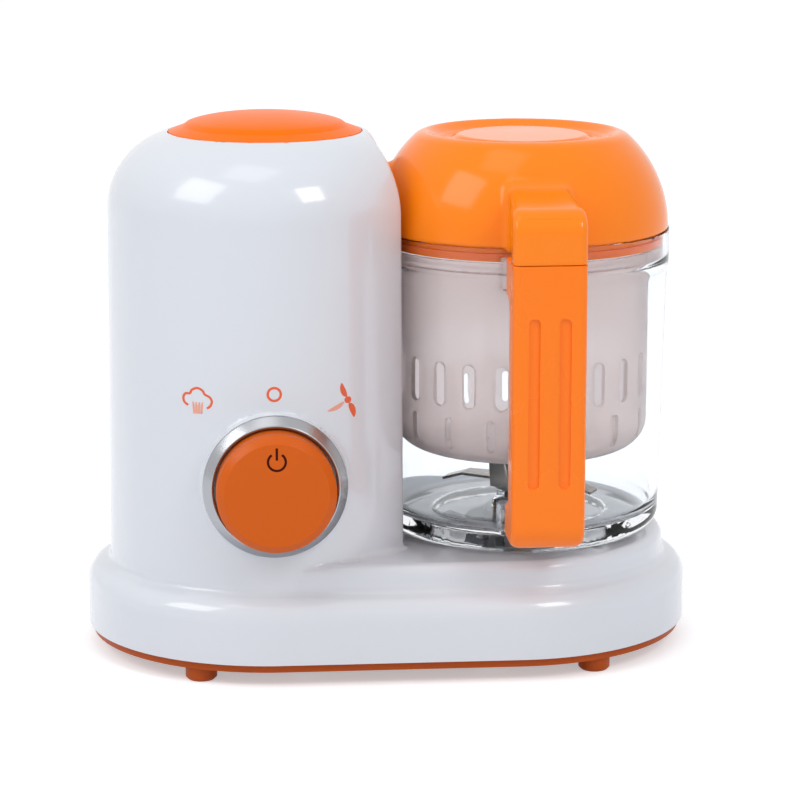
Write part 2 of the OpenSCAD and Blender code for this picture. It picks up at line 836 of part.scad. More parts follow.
module handle_screws() {
    color("silver") at_jar() translate([0, handle_screw_y, 0]) {
        rod(head_r, handle_top - head_h - 0.3, handle_top - 0.3);
        rod(screw_r, handle_top - screw_len - 1, handle_top - head_h);
        rod(head_r, handle_z + 0.3, handle_z + head_h + 0.3);
        rod(screw_r, handle_z + head_h, handle_z + screw_len + 1);
    }
}

module jar_bush() {
    color("peru") at_jar()
        tube(bush_r - run_gap, blade_shaft_r + run_gap, floor_under, jar_boss_top - 2);
}

module shaft_seal() {
    color("black") at_jar()
        tube(bush_r - run_gap, blade_shaft_r + lift_gap, jar_boss_top - 2 + run_gap, jar_boss_top);
}

module jar_coupler() {
    color("dimgray") at_jar() difference() {
        union() {
            rod(clutch_r, jar_clutch_z - clutch_t, jar_clutch_z);
            rod(blade_shaft_r + 3, clutch_z + clutch_t + 0.6, jar_clutch_z);
            clutch_lugs(lug_angle + lug_slack, clutch_z + clutch_t + 0.4, jar_clutch_z - clutch_t + eps);
        }
        rod(blade_shaft_r + run_gap, clutch_z + clutch_t + 1.6, jar_clutch_z + 1);
    }
}

module blade_shaft() {
    color("silver") at_jar()
        rod(blade_shaft_r, clutch_z + clutch_t + 1.8, hub_z + hub_h + 2 * blade_t + 6);
}

module blade_hub() {
    color("gray") at_jar() difference() {
        rod(hub_r, hub_z, hub_z + hub_h);
        rod(blade_shaft_r + run_gap, hub_z - 1, hub_z + hub_h + 1);
    }
}

module hub_cap() {
    z0 = hub_z + hub_h + 2 * blade_t;
    color("gray") at_jar() difference() {
        rotate_extrude() polygon(concat(
            [[0, z0], [hub_r, z0]],
            arc(hub_r - 4, z0 + hub_cap_h - 4, 4, 0, 90, 5),
            [[0, z0 + hub_cap_h]]
        ));
        rod(blade_shaft_r + run_gap, z0 - 1, z0 + 6.2);
    }
}

// One wing of a blade: a tapering strip whose end turns up or down
module wing(reach, root_w, tip_w, tip_l, tilt) {
    linear_extrude(blade_t) polygon([
        [0, -root_w / 2], [reach, -tip_w / 2], [reach, tip_w / 2], [0, root_w / 2]
    ]);
    translate([reach, 0, 0]) rotate([0, -tilt, 0]) linear_extrude(blade_t) polygon([
        [-blade_t * 0.4, -tip_w / 2], [tip_l, -tip_w / 2 + 1.5],
        [tip_l, tip_w / 2 - 0.5], [-blade_t * 0.4, tip_w / 2]
    ]);
}

module blade_disc(z) {
    difference() {
        union() {
            rod(hub_r - 1, z, z + blade_t);
            translate([0, 0, z]) children();
        }
        rod(blade_shaft_r + run_gap, z - 1, z + blade_t + 1);
    }
}

module lower_blade() {
    z = hub_z + hub_h;
    color("lightgray") at_jar() rotate(blade_turn - 90) blade_disc(z)
        for (s = [0, 180]) rotate(s) wing(blade_reach - 10, 14, 10, 10, -18);
}

module upper_blade() {
    z = hub_z + hub_h + blade_t;
    color("lightgray") at_jar() rotate(blade_turn) blade_disc(z)
        for (s = [0, 180]) rotate(s) wing(22, 13, 9, 13, 68);
}

// ---- basket and lid --------------------------------------------------------

module steam_basket() {
    z0 = flange_z + flange_h - basket_h;
    lower_n = 18;
    slot_z0 = z0 + 26;
    slot_z1 = z0 + 45;
    color([0.95, 0.88, 0.87]) at_jar() difference() {
        rotate_extrude() polygon(concat(
            [[0, z0]],
            arc(basket_r - basket_round, z0 + basket_round, basket_round, -90, 0),
            [[basket_r, flange_z], [flange_r, flange_z], [flange_r, flange_z + flange_h],
             [flange_r - 1.6, flange_z + flange_h], [flange_r - 1.6, flange_z + basket_wall],
             [basket_r - basket_wall, flange_z + basket_wall]],
            arc(basket_r - basket_round, z0 + basket_round, basket_round - basket_wall, 0, -90),
            [[0, z0 + basket_wall]]
        ));
        for (i = [0:slot_count - 1]) rotate(i * 360 / slot_count)
            translate([basket_r - 6, -slot_w / 2, slot_z0]) cube([12, slot_w, slot_z1 - slot_z0]);
        for (i = [0:lower_n - 1]) rotate((i + 0.5) * 360 / lower_n)
            translate([basket_r - 10, -1.5, z0 + 7]) cube([14, 3, 14]);
        for (n = [6, 12], i = [0:n - 1]) rotate(i * 360 / n) translate([n * 2.6, 0, z0 - 1])
            cylinder(r = 2.2, h = basket_wall + 2);
    }
}

// The lid's dome, crest and sunk top, shrunk by an inset for the inside
function dome_profile(inset) =
    let (
        low_a = asin(inset / (lid_dome_r - inset)),
        side_a = asin((lid_h - crest_round) / lid_dome_r) - 3,
        top_z = lid_z + lid_h
    ) concat(
        arc(lid_r - lid_dome_r, lid_z, lid_dome_r - inset, low_a, side_a, 10),
        arc(crest_r, top_z - crest_round, crest_round - inset * 0.6, 40, 140, 5),
        [[crest_r - 6.5, top_z - dish_d - inset], [disc_r, top_z - dish_d - inset],
         [disc_r - 1.5, top_z - dish_d + 1.6 - inset], [0, top_z - dish_d + 1.9 - inset]]
    );

module lid_tab() {
    w = handle_w;
    y_front = -handle_reach;
    tab_z = handle_top + lift_gap;
    front_round = 4;
    intersection() {
        rotate([90, 0, 90]) linear_extrude(w, center = true) polygon(concat(
            [[-crest_r, lid_z], [-crest_r, lid_z + 24], [-lid_r + 4, lid_z + 25]],
            [[y_front + 11, lid_z + 21.4]],
            arc(y_front + 9, lid_z + 12, 9, 80, 180, 6),
            [[y_front, tab_z], [-jar_rim_r - 1, tab_z], [-jar_rim_r - 1, lid_z]]
        ));
        linear_extrude(tower_top) polygon(concat(
            arc(-w / 2 + front_round, y_front + front_round, front_round, 180, 270, 4),
            arc(w / 2 - front_round, y_front + front_round, front_round, 270, 360, 4),
            [[w / 2, y_front + 12], [w / 2 - 2.5, -jar_rim_r - 8], [w / 2 + 3, -lid_r + 3],
             [w / 2 + 3, -crest_r], [-w / 2 - 3, -crest_r], [-w / 2 - 3, -lid_r + 3],
             [-w / 2 + 2.5, -jar_rim_r - 8], [-w / 2, y_front + 12]]
        ));
    }
}

module tab_hollow() {
    y_front = -handle_reach;
    rotate([90, 0, 90]) linear_extrude(handle_w - 2 * lid_wall - 5, center = true) polygon([
        [y_front + 3, handle_top - 1], [y_front + 3, lid_z + 12], [y_front + 11, lid_z + 17.5],
        [-jar_rim_r - 4, lid_z + 20], [-jar_rim_r - 4, handle_top - 1]
    ]);
}

module inlet(r, x_end) {
    intersection() {
        translate([-recess_r, 0, port_z]) rotate([0, 90, 0]) cylinder(r = r, h = x_end);
        rod(recess_r - 0.5, lid_z, tower_top);
    }
}

module lid() {
    color("darkorange") at_jar() difference() {
        union() {
            rotate_extrude() polygon(concat(
                [[0, skirt_z], [skirt_r, skirt_z], [skirt_r, lid_z]], dome_profile(0)
            ));
            inlet(inlet_r, 16);
            lid_tab();
        }
        rotate_extrude() polygon(concat(
            [[0, skirt_z - 1], [skirt_r - skirt_wall, skirt_z - 1]],
            [[skirt_r - skirt_wall, lid_z + lid_wall]],
            dome_profile(lid_wall)
        ));
        tab_hollow();
        tube(skirt_r + 1, skirt_r - 0.8, skirt_z + 1, skirt_z + 3.6);
        inlet(elbow_r + run_gap, 30);
    }
}

module lid_seal() {
    color("whitesmoke") at_jar()
        tube(skirt_r + 1.2, skirt_r - 0.8 + run_gap, skirt_z + 1 + run_gap, skirt_z + 3.6 - run_gap);
}

module steam_elbow() {
    x_in = -recess_r + 1;
    x_down = -30;
    color("whitesmoke") at_jar() translate([0, 0, port_z]) difference() {
        union() {
            translate([x_in, 0, 0]) rotate([0, 90, 0]) cylinder(r = elbow_r, h = x_down - x_in);
            translate([x_down, 0, 0]) sphere(r = elbow_r);
            translate([x_down, 0, -13]) cylinder(r = elbow_r, h = 13);
        }
        translate([x_in - 1, 0, 0]) rotate([0, 90, 0]) cylinder(r = elbow_r - 1.8, h = x_down - x_in + 1);
        translate([x_down, 0, 0]) sphere(r = elbow_r - 1.8);
        translate([x_down, 0, -14]) cylinder(r = elbow_r - 1.8, h = 14);
    }
}

housing();
tower();
recess_panel();
bottom_plate();
feet();
base_screws();
cord_gland();
knob_bezel();
knob();
knob_shaft();
rotary_switch();
switch_screws();
tank_cap();
cap_seal();
water_tank();
tank_screws();
heating_plate();
thermostat();
steam_nozzle();
circuit_board();
board_parts();
motor();
motor_shaft();
motor_bracket();
motor_screws();
motor_pulley();
drive_belt();
drive_pulley();
drive_shaft();
drive_bushes();
drive_coupler();
jar();
jar_handle();
handle_cover();
handle_screws();
jar_bush();
shaft_seal();
jar_coupler();
blade_shaft();
blade_hub();
lower_blade();
upper_blade();
hub_cap();
steam_basket();
lid();
lid_seal();
steam_elbow();
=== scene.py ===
"""Baby food maker: the visual model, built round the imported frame.

Lengths in the shape code are millimetres. A shape is made round its piece's axis or the middle of
the base, and piece() puts it in its place.
"""
import json
import math
import bpy
import numpy as np
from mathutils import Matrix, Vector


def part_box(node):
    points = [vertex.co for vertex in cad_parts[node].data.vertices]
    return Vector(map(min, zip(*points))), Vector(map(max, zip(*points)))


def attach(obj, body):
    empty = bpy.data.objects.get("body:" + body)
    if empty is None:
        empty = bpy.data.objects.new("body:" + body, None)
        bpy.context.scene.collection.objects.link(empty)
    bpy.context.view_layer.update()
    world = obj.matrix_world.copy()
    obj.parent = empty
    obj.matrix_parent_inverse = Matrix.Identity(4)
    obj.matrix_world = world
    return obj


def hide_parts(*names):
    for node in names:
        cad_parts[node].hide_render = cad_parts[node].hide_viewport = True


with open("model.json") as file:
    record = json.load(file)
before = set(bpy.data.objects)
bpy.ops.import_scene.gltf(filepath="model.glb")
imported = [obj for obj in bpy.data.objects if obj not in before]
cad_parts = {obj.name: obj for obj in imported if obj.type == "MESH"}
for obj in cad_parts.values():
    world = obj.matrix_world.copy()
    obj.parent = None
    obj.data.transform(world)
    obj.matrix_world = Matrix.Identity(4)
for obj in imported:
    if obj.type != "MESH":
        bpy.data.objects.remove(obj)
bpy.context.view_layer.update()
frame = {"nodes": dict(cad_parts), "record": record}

MM = 0.001


def box(node):
    """A node's lowest and highest corner in millimetres."""
    low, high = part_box(node)
    return np.array(low) / MM, np.array(high) / MM


# ---- places and sizes, from the frame --------------------------------------

base_low, base_high = box("housing")
cap_low, cap_high = box("tank_cap")
jar_low, jar_high = box("jar")
grip_low, grip_high = box("jar_handle")
basket_low, basket_high = box("steam_basket")
lid_low, lid_high = box("lid")
_, bezel_high = box("knob_bezel")
knob_low, knob_high = box("knob")
nozzle_low, nozzle_high = box("steam_nozzle")
gland_low, gland_high = box("cord_gland")

# The middle of the base in Y, and the axes of the tower and the jar in X.
BY = (cap_low[1] + cap_high[1]) / 2
TX = (cap_low[0] + cap_high[0]) / 2
JX = (basket_low[0] + basket_high[0]) / 2

# The white shell.
BASE_Z, SEAT = base_low[2], base_high[2]
BASE_R = 82.0
END = base_high[0] - BASE_R
BASE_TOP = BASE_Z + 28
BASE_ROUND = 9
PLINTH_FILLET = 3
STEP_R = BASE_R - 10
STEP_ROUND = 4
STEP_FILLET = 2.5
STEP_INSET = 3
WALL = 3.4
TOWER_R, TOWER_R_HIGH = 70.4, 69.0
SHOULDER_R = 34.0
TOWER_TOP = SEAT + 178.7
SHOULDER_Z = TOWER_TOP - SHOULDER_R
RECESS_R = 67.5
RECESS_DEPTH = 8
RECESS_ROUND = 3
CAP_HOLE_R = 42.3
NECK_R = 35.8
COLLAR_R = 43.5
COLLAR_H = 9
WELL_R = 24
WELL_WALL_R = 27.5
WELL_DEPTH = 6
BUSH_HOLE_R = 6.5
BUSH_BOSS_R = 10.5
SCREW_BOSS_R = 4.6
GLAND_X = (gland_low[0] + gland_high[0]) / 2
GLAND_Z = (gland_low[2] + gland_high[2]) / 2
GLAND_HOLE_R = 5.55
PORT_HOLE_R = 6.05
PAD_R, PAD_DEPTH = 30.9, 16
PAD_T = 3
BACKING_R, BACKING_DEPTH = 32.5, 14
POCKET_R, POCKET_DEPTH = 28.5, 20
SPINDLE_HOLE_R = 4.5

# Where the other pieces sit: heights in the frame, and Y from the middle of the base.
PORT_Z = (nozzle_low[2] + nozzle_high[2]) / 2
KNOB_Z = (knob_low[2] + knob_high[2]) / 2
PAD_Y = bezel_high[1] - BY
CAP_SEAT = cap_high[2] - 10.5
JAR_Z, JAR_TOP = jar_low[2], jar_high[2]
GRIP_FRONT = grip_low[1] - BY
GRIP_Z, GRIP_TOP = grip_low[2], grip_high[2]
GRIP_W = grip_high[0] - grip_low[0]
LID_Z = JAR_TOP + 0.3
LID_TOP = lid_high[2]


# ---- solid shapes as distance fields ---------------------------------------

def meet(a, b, r=0.0):
    """What two solids share, with its new edge rounded."""
    if np.isscalar(r) and not r:
        return np.maximum(a, b)
    return np.minimum(-r, np.maximum(a, b)) + np.hypot(np.maximum(r + a, 0), np.maximum(r + b, 0))


def overlap(*fields):
    """What several solids share, with sharp edges."""
    result = fields[0]
    for field in fields[1:]:
        result = np.maximum(result, field)
    return result


def join(a, b, r=0.0):
    """Two solids as one, with a fillet where they join."""
    return -meet(-a, -b, r)


def cut(a, b, r=0.0):
    """The first solid without the second."""
    return meet(a, -b, r)


def between(v, low, high):
    """Below zero where v lies between two values."""
    return np.maximum(low - v, v - high)


# How contour works: halvings of a crossed edge, the step in mm that finds a slope, the pull towards
# the mean of the crossings, and how far a vertex may move, in cells.
HALVINGS = 9
NUDGE = 0.03
STEADY = 0.03
FARTHEST = 0.9
TINY = 1e-12


def contour(field, low, high, pitch):
    """Vertices and quads of the surface where field is 0.

    Each cell that the surface passes through gets one vertex, placed where the planes at the
    cell's crossings meet, so that edges stay crisp.
    """
    axes = [np.arange(a - 1.37 * pitch, b + 2 * pitch, pitch) for a, b in zip(low, high)]
    size = tuple(len(a) for a in axes)
    inside = np.broadcast_to(field(*np.meshgrid(*axes, indexing="ij", sparse=True)), size) < 0
    step = np.eye(3, dtype=int)
    points, normals, cells, quads = [], [], [], []
    for k in range(3):
        first = inside[tuple(slice(0, -1) if i == k else slice(None) for i in range(3))]
        second = inside[tuple(slice(1, None) if i == k else slice(None) for i in range(3))]
        at = np.argwhere(first != second)
        start = np.stack([axes[i][at[:, i]] for i in range(3)], 1)
        sign = first[tuple(at.T)]
        near, far = np.zeros(len(at)), np.ones(len(at))
        for _ in range(HALVINGS):
            mid = (near + far) / 2
            same = (field(*(start + np.outer(mid * pitch, step[k])).T) < 0) == sign
            near, far = np.where(same, mid, near), np.where(same, far, mid)
        p = start + np.outer((near + far) / 2 * pitch, step[k])
        g = [field(*(p + NUDGE * step[i]).T) - field(*(p - NUDGE * step[i]).T) for i in range(3)]
        g = np.stack(g, 1)
        g /= np.linalg.norm(g, axis=1, keepdims=True) + TINY
        u, v = step[(k + 1) % 3], step[(k + 2) % 3]
        four = np.stack([np.ravel_multi_index(c.T, size) for c in (at - u - v, at - v, at, at - u)], 1)
        quads.append(np.where(sign[:, None], four, four[:, ::-1]))
        cells.append(four.ravel())
        points.append(np.repeat(p, 4, 0))
        normals.append(np.repeat(g, 4, 0))
    cells, p, g = np.concatenate(cells), np.concatenate(points), np.concatenate(normals)
    used, where = np.unique(cells, return_inverse=True)
    count = np.bincount(where)
    mean = np.stack([np.bincount(where, p[:, i]) for i in range(3)], 1) / count[:, None]
    off = np.einsum("ij,ij->i", g, p - mean[where])
    pull = np.stack([np.bincount(where, g[:, i] * off) for i in range(3)], 1)
    hold = np.stack([np.bincount(where, g[:, i] * g[:, j]) for i in range(3) for j in range(3)], 1)
    hold = hold.reshape(-1, 3, 3) + STEADY * count[:, None, None] * np.eye(3)
    move = np.linalg.solve(hold, pull[:, :, None])[:, :, 0]
    reach = np.linalg.norm(move, axis=1, keepdims=True)
    move *= np.minimum(1, FARTHEST * pitch / np.maximum(reach, TINY))
    return np.clip(mean + move, low, high), np.searchsorted(used, np.concatenate(quads))


def spun(x, y, angle):
    """The plane vector (x, y) turned by an angle."""
    c, s = math.cos(angle), math.sin(angle)
    return np.array([x * c - y * s, x * s + y * c])


def rounded(corners, steps=7):
    """A closed outline of (radius, height, rounding) corners as plain points."""
    points = []
    n = len(corners)
    for i, (x, y, r) in enumerate(corners):
        here = np.array([x, y], float)
        if not r:
            points.append(here)
            continue
        a = np.array(corners[i - 1][:2], float) - here
        b = np.array(corners[(i + 1) % n][:2], float) - here
        la, lb = np.linalg.norm(a), np.linalg.norm(b)
        a, b = a / la, b / lb
        half = math.acos(max(-1.0, min(1.0, float(a @ b)))) / 2
        back = min(r / math.tan(half), 0.49 * la, 0.49 * lb)
        radius = back * math.tan(half)
        centre = here + (a + b) / np.linalg.norm(a + b) * radius / math.sin(half)
        u, w = here + a * back - centre, here + b * back - centre
        turn = math.atan2(u[0] * w[1] - u[1] * w[0], float(u @ w))
        for s in range(steps + 1):
            t = turn * s / steps
            points.append(centre + spun(u[0], u[1], t))
    return points


def turned(outline, segments=192):
    """Vertices and faces of a closed outline of (radius, height) points, turned round the Z axis.

    A point on the axis becomes one vertex.
    """
    angles = [2 * math.pi * i / segments for i in range(segments)]
    verts, rings, faces = [], [], []
    for r, z in outline:
        if r < TINY:
            rings.append([len(verts)] * segments)
            verts.append((0, 0, z))
        else:
            rings.append(list(range(len(verts), len(verts) + segments)))
            verts += [(r * math.cos(t), r * math.sin(t), z) for t in angles]
    for a, b in zip(rings, rings[1:] + rings[:1]):
        if a[0] == a[1] and b[0] == b[1]:
            continue
        for i in range(segments):
            j = (i + 1) % segments
            quad = [a[i], a[j], b[j], b[i]]
            face = [v for n, v in enumerate(quad) if v not in quad[:n]]
            faces.append(face)
    return np.array(verts), faces


def lying(verts):
    """Turns a shape made along +Z so that it points along -Y."""
    return np.stack([verts[:, 0], -verts[:, 2], verts[:, 1]], 1)


# Parts with fine fillets keep only their sharper edges crisp, in degrees.
FILLETED = 50


def piece(name, shape, at, material, body, replaced=(), sharp=38):
    """A mesh object in the frame, from vertices and faces in millimetres, that rides on a body.

    Edges bent by more than the angle sharp stay crisp.
    """
    verts, faces = shape
    mesh = bpy.data.meshes.new(name)
    placed = (np.asarray(verts) + np.array(at)) * MM
    mesh.from_pydata(placed.tolist(), [], [list(map(int, f)) for f in faces])
    mesh.validate()
    mesh.shade_smooth()
    mesh.set_sharp_from_angle(angle=math.radians(sharp))
    mesh.materials.append(material)
    obj = bpy.data.objects.new(name, mesh)
    bpy.context.scene.collection.objects.link(obj)
    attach(obj, body)
    if replaced:
        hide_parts(*replaced)
    return obj


# ---- materials --------------------------------------------------------------

def rgb(r, g, b):
    """A screen colour, from 0 to 255, as the linear colour of a shader."""
    linear = [c / 255 / 12.92 if c <= 10 else ((c / 255 + 0.055) / 1.055) ** 2.4 for c in (r, g, b)]
    return (*linear, 1.0)


def add(tree, kind, values=None, **settings):
    """A node with its settings and the values of its inputs."""
    node = tree.nodes.new(kind)
    for key, value in settings.items():
        setattr(node, key, value)
    for key, value in (values or {}).items():
        node.inputs[key].default_value = value
    return node


# A surface without a drift of its own changes by this much, over patches of this scale.
DRIFT, DRIFT_SCALE = 0.03, 14.0
ROUGH_DRIFT = 0.05
# A grain without a strength or scale of its own, and how deep a grain is, in metres.
GRAIN, GRAIN_SCALE = 0.03, 1400.0
GRAIN_DEPTH = 0.0003


def finish(name, colour, rough, drift=DRIFT, drift_scale=DRIFT_SCALE, rough_drift=ROUGH_DRIFT,
           grain=GRAIN, grain_scale=GRAIN_SCALE, brushed=None, **sockets):
    """A Principled finish whose colour drifts, whose gloss is uneven and which has a fine grain.

    brushed stretches the grain along an axis, and sockets are the shader's own inputs.
    """
    mat = bpy.data.materials.new(name)
    mat.use_nodes = True
    tree = mat.node_tree
    shader = tree.nodes["Principled BSDF"]
    place = add(tree, "ShaderNodeTexCoord").outputs["Object"]
    cloud = add(tree, "ShaderNodeTexNoise", {"Scale": drift_scale, "Detail": 4.0, "Roughness": 0.55})
    tree.links.new(place, cloud.inputs["Vector"])
    tint = add(tree, "ShaderNodeMix", data_type="RGBA")
    dark, light = tint.inputs[6], tint.inputs[7]
    dark.default_value = tuple(c * (1 - drift * 2) for c in colour[:3]) + (1.0,)
    light.default_value = tuple(min(1.0, c * (1 + drift)) for c in colour[:3]) + (1.0,)
    tree.links.new(cloud.outputs["Fac"], tint.inputs[0])
    tree.links.new(tint.outputs[2], shader.inputs["Base Color"])
    gloss = add(tree, "ShaderNodeMapRange", {
        "From Min": 0.3, "From Max": 0.7,
        "To Min": max(0.0, rough - rough_drift), "To Max": rough + rough_drift})
    tree.links.new(cloud.outputs["Fac"], gloss.inputs["Value"])
    tree.links.new(gloss.outputs["Result"], shader.inputs["Roughness"])
    if grain:
        fine = add(tree, "ShaderNodeTexNoise", {"Scale": grain_scale, "Detail": 2.0})
        if brushed:
            stretch = add(tree, "ShaderNodeMapping")
            stretch.inputs["Scale"].default_value = brushed
            tree.links.new(place, stretch.inputs["Vector"])
            tree.links.new(stretch.outputs["Vector"], fine.inputs["Vector"])
        else:
            tree.links.new(place, fine.inputs["Vector"])
        bump = add(tree, "ShaderNodeBump", {"Strength": grain, "Distance": GRAIN_DEPTH})
        tree.links.new(fine.outputs["Fac"], bump.inputs["Height"])
        tree.links.new(bump.outputs["Normal"], shader.inputs["Normal"])
    for key, value in sockets.items():
        shader.inputs[key.replace("_", " ")].default_value = value
    return mat


def ring_brushed(name, colour, rough, centre, **sockets):
    """Metal brushed in circles round an axis along Y through centre, in metres."""
    mat = finish(name, colour, rough, grain=0, **sockets)
    tree = mat.node_tree
    place = tree.nodes["Texture Coordinate"].outputs["Object"]
    apart = add(tree, "ShaderNodeVectorMath", operation="SUBTRACT")
    apart.inputs[1].default_value = centre
    tree.links.new(place, apart.inputs[0])
    flat = add(tree, "ShaderNodeVectorMath", operation="MULTIPLY")
    flat.inputs[1].default_value = (1, 0, 1)
    tree.links.new(apart.outputs[0], flat.inputs[0])
    radius = add(tree, "ShaderNodeVectorMath", operation="LENGTH")
    tree.links.new(flat.outputs[0], radius.inputs[0])
    axes = add(tree, "ShaderNodeSeparateXYZ")
    tree.links.new(apart.outputs[0], axes.inputs[0])
    lines = add(tree, "ShaderNodeCombineXYZ")
    tree.links.new(radius.outputs["Value"], lines.inputs["X"])
    tree.links.new(axes.outputs["Y"], lines.inputs["Y"])
    fine = add(tree, "ShaderNodeTexNoise", {"Scale": 2600.0, "Detail": 3.0})
    tree.links.new(lines.outputs[0], fine.inputs["Vector"])
    bump = add(tree, "ShaderNodeBump", {"Strength": 0.12, "Distance": 0.0002})
    tree.links.new(fine.outputs["Fac"], bump.inputs["Height"])
    tree.links.new(bump.outputs["Normal"], tree.nodes["Principled BSDF"].inputs["Normal"])
    return mat


WHITE = finish("white_moulding", rgb(214, 217, 223), 0.16, drift=0.008, grain=0.02,
               Specular_IOR_Level=0.5, Coat_Weight=0.3, Coat_Roughness=0.06)
ORANGE = finish("orange_moulding", rgb(255, 131, 8), 0.14, drift=0.02, grain=0.02, Specular_IOR_Level=0.28)
CAP = finish("orange_cap", rgb(255, 114, 2), 0.3, drift=0.02, grain=0.02, Specular_IOR_Level=0.08)
GRIP = finish("orange_grip", rgb(255, 124, 8), 0.28, drift=0.02, grain=0.04, Specular_IOR_Level=0.32)
KNOB = finish("orange_knob", rgb(208, 91, 2), 0.33, drift=0.02, grain=0.05, Specular_IOR_Level=0.22)
BASE = finish("orange_base", rgb(176, 76, 18), 0.42, drift=0.04, grain=0.08, Specular_IOR_Level=0.2)
CHROME = ring_brushed("brushed_bezel", rgb(164, 166, 170), 0.27, (TX * MM, 0, KNOB_Z * MM), Metallic=1.0)
CLEAR = finish("clear_moulding", rgb(248, 250, 252), 0.04, drift=0.003, rough_drift=0.015, grain=0,
               IOR=1.24, Transmission_Weight=1.0)
FROST = finish("frosted_moulding", rgb(255, 245, 243), 0.5, drift=0.008, grain=0.06, grain_scale=900.0,
               Transmission_Weight=0.72, IOR=1.12, Specular_IOR_Level=0.3)
STEEL = finish("brushed_steel", rgb(168, 160, 152), 0.24, drift=0.05, grain=0.12, grain_scale=300.0,
               brushed=(1, 8, 1), Metallic=1.0)
ZINC = finish("zinc_plate", rgb(186, 188, 192), 0.34, drift=0.06, drift_scale=160.0, grain=0.06,
              Metallic=1.0)
CAST = finish("cast_aluminium", rgb(200, 202, 204), 0.5, drift=0.06, drift_scale=90.0, grain=0.3,
              grain_scale=1100.0, Metallic=1.0)
BRONZE = finish("sintered_bronze", rgb(176, 130, 72), 0.45, drift=0.08, drift_scale=220.0, grain=0.35,
                grain_scale=2200.0, Metallic=1.0)
SILICONE = finish("silicone", rgb(232, 230, 224), 0.45, drift=0.02, grain=0.06, Subsurface_Weight=0.2)
SEAL = finish("orange_silicone", rgb(236, 104, 22), 0.4, drift=0.02, grain=0.05)
RUBBER = finish("black_rubber", rgb(38, 38, 38), 0.62, drift=0.1, drift_scale=120.0, grain=0.25)
BLACK = finish("black_moulding", rgb(44, 44, 46), 0.4, drift=0.06, grain=0.15)
GREY = finish("grey_moulding", rgb(150, 152, 156), 0.38, drift=0.03, grain=0.12)
TANK = finish("tank_moulding", rgb(222, 225, 228), 0.36, drift=0.02, grain=0.1, Subsurface_Weight=0.1)
BOARD = finish("laminate", rgb(30, 110, 56), 0.36, drift=0.12, drift_scale=500.0, grain=0.3,
               grain_scale=700.0)
PRINT = finish("printed_orange", rgb(226, 96, 54), 0.4, drift=0.03, drift_scale=300.0, grain=0.05)
PALE_PRINT = finish("printed_pale", rgb(230, 160, 138), 0.4, drift=0.05, drift_scale=900.0, grain=0.05)
INK = finish("printed_dark", rgb(62, 14, 4), 0.5, drift=0.05, drift_scale=300.0, grain=0.05,
             Specular_IOR_Level=0.08)

SLOTS = {
    "white_body": WHITE, "orange_body": ORANGE, "orange_base": BASE, "orange_knob": KNOB,
    "bezel": CHROME, "clear_jar": CLEAR, "frosted": FROST, "steel": STEEL, "zinc": ZINC,
    "aluminium": CAST, "brass": BRONZE, "silicone": SILICONE, "rubber": RUBBER,
    "black_plastic": BLACK, "grey_plastic": GREY, "tank_plastic": TANK, "board": BOARD,
}
for part in frame["record"]["subparts"]:
    for place in frame["nodes"][part["node"]].material_slots:
        place.material = SLOTS[part["material_slot"]]
for place in frame["nodes"]["lid_seal"].material_slots:
    place.material = SEAL


# ---- base and tower ---------------------------------------------------------

def shell_outside(x, y, z):
    """The base, its step and the tower with the hollow side for the jar."""
    plan = np.hypot(np.maximum(np.abs(x) - END, 0), y)
    plinth = meet(plan - BASE_R, z - BASE_TOP, BASE_ROUND)
    # Under the tower the step is a little narrower, because their walls would nearly coincide there.
    ease = np.clip((x - TX + 5) / 38, 0, 1)
    inset = STEP_INSET * (1 - ease * ease * (3 - 2 * ease))
    step = meet(plan - STEP_R + inset, z - SEAT, STEP_ROUND)
    axis = np.hypot(x - TX, y)
    taper = np.clip((z - SEAT) / (SHOULDER_Z - SEAT), 0, 1)
    side = axis - (TOWER_R + (TOWER_R_HIGH - TOWER_R) * taper)
    flat_r = TOWER_R_HIGH - SHOULDER_R
    dome = np.where(axis > flat_r, np.hypot(axis - flat_r, z - SHOULDER_Z) - SHOULDER_R, z - TOWER_TOP)
    tower = np.where(z > SHOULDER_Z, dome, side)
    recess = np.maximum(np.hypot(x - JX, y) - RECESS_R, SEAT - RECESS_DEPTH - z)
    tower = cut(tower, recess, RECESS_ROUND)
    fillet = STEP_FILLET * np.clip((x - TX - 12) / 40, 0.02, 1)
    return join(join(tower, step, fillet), plinth, PLINTH_FILLET)


def screw_bosses(x, y):
    """The upright posts for the bottom plate's screws: one at each end and four along the sides."""
    posts = []
    for sx, sy in ((-1, 0), (1, 0), (-0.5, 1), (0.5, 1), (-0.5, -1), (0.5, -1)):
        px = sx * (END + STEP_R - 7 if sy == 0 else END + 28)
        posts.append(np.hypot(x - px, y - sy * (STEP_R - 9)) - SCREW_BOSS_R)
    return posts


